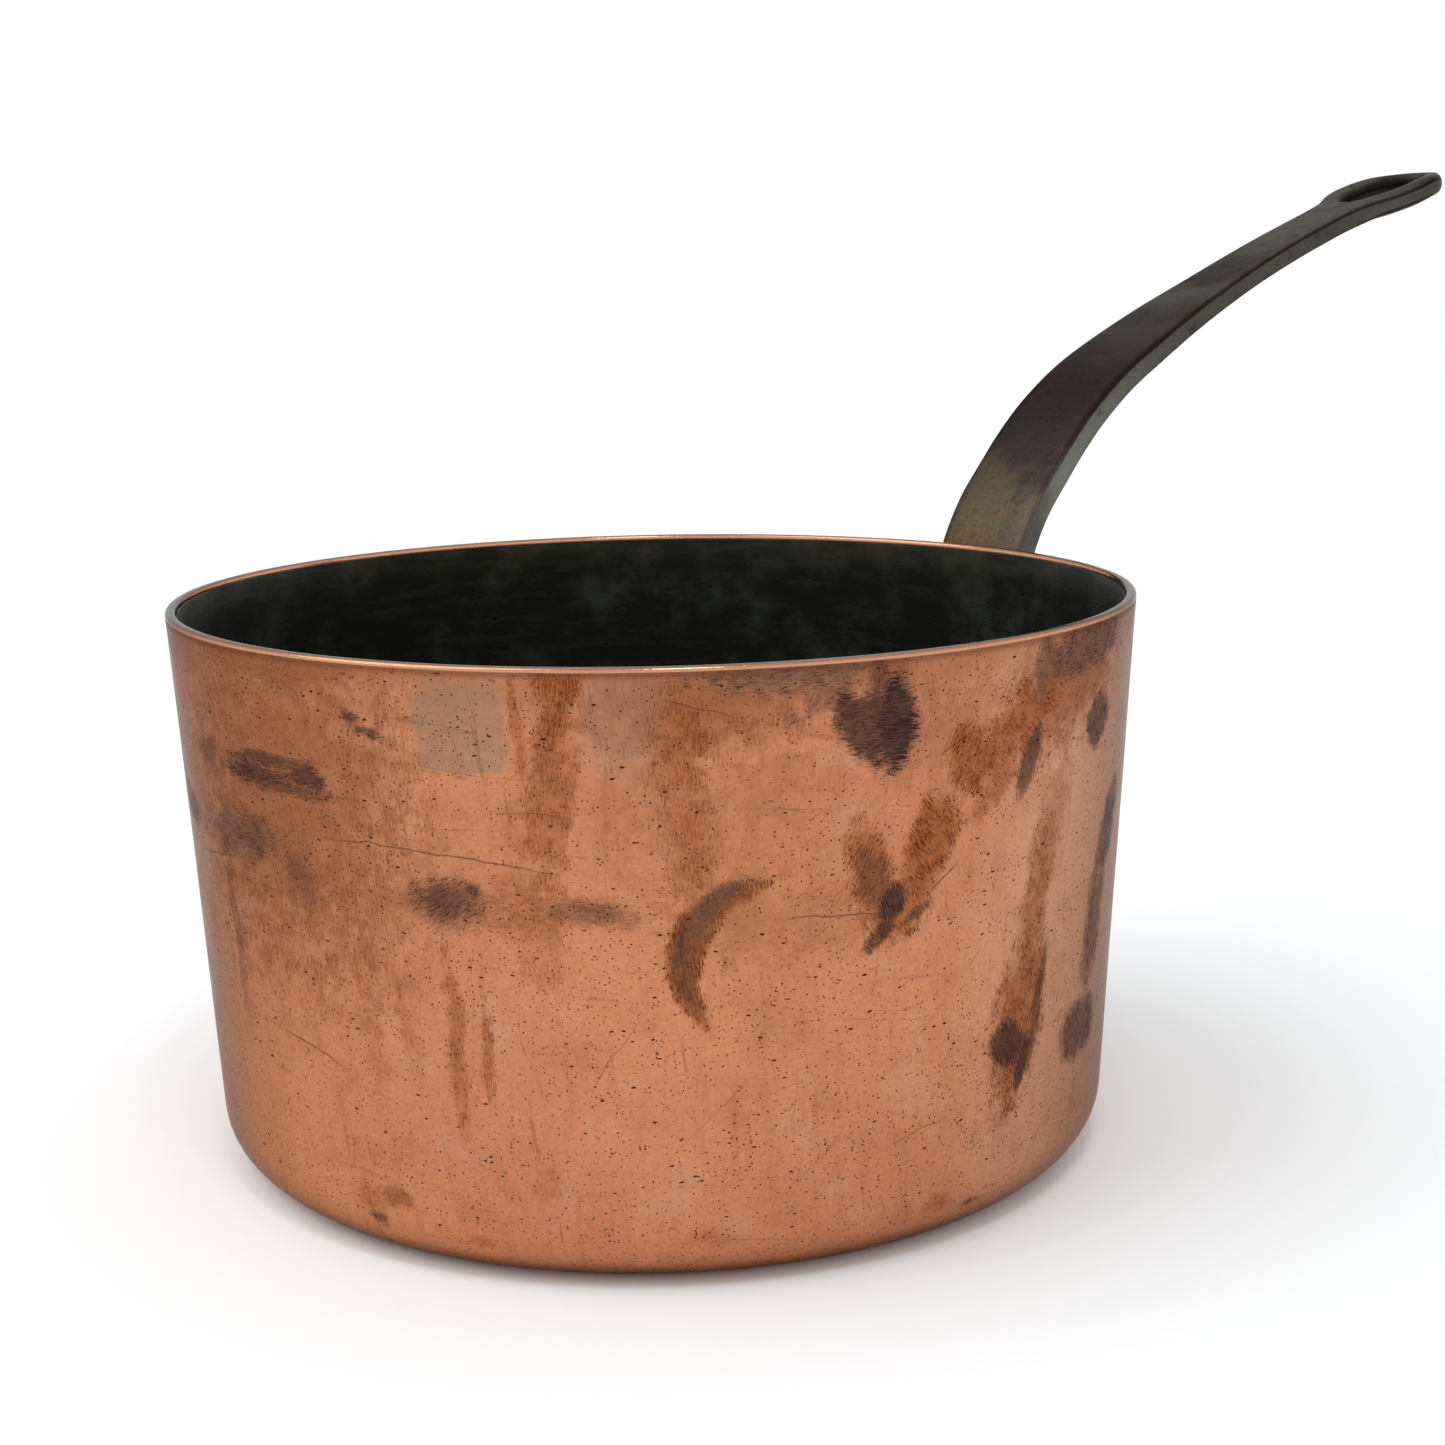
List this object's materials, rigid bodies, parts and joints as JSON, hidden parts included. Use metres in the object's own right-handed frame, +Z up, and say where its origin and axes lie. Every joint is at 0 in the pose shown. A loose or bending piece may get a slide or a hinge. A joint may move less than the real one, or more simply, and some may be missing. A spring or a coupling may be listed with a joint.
{
  "type": "saucepan",
  "caption": "Tall copper saucepan with a straight tapered wall, dark tinned inside, and a long riveted iron handle that rises to a teardrop hanging eyelet.",
  "frame": {"origin": "centre of the flat underside that the pan rests on", "axes": "+Z up along the pan's axis, +X from the pan's axis towards the handle, which lies in the XZ plane"},
  "size_m": [0.4736, 0.24, 0.2462],
  "materials": {
    "copper": "worn, lightly polished bare copper with brown stains, pits and scratches",
    "tin": "darkened wiped tin, mottled, dull",
    "rivet_copper": "hammered copper rivet heads, browned",
    "iron": "smooth dark forged-looking cast iron, heat-tinted, satin"
  },
  "bodies": {
    "root": {"pan_body": "copper", "tin_lining": "tin", "handle": "iron", "rivet_upper_left": "rivet_copper", "rivet_upper_right": "rivet_copper", "rivet_lower": "rivet_copper"}
  },
  "joints": []
}
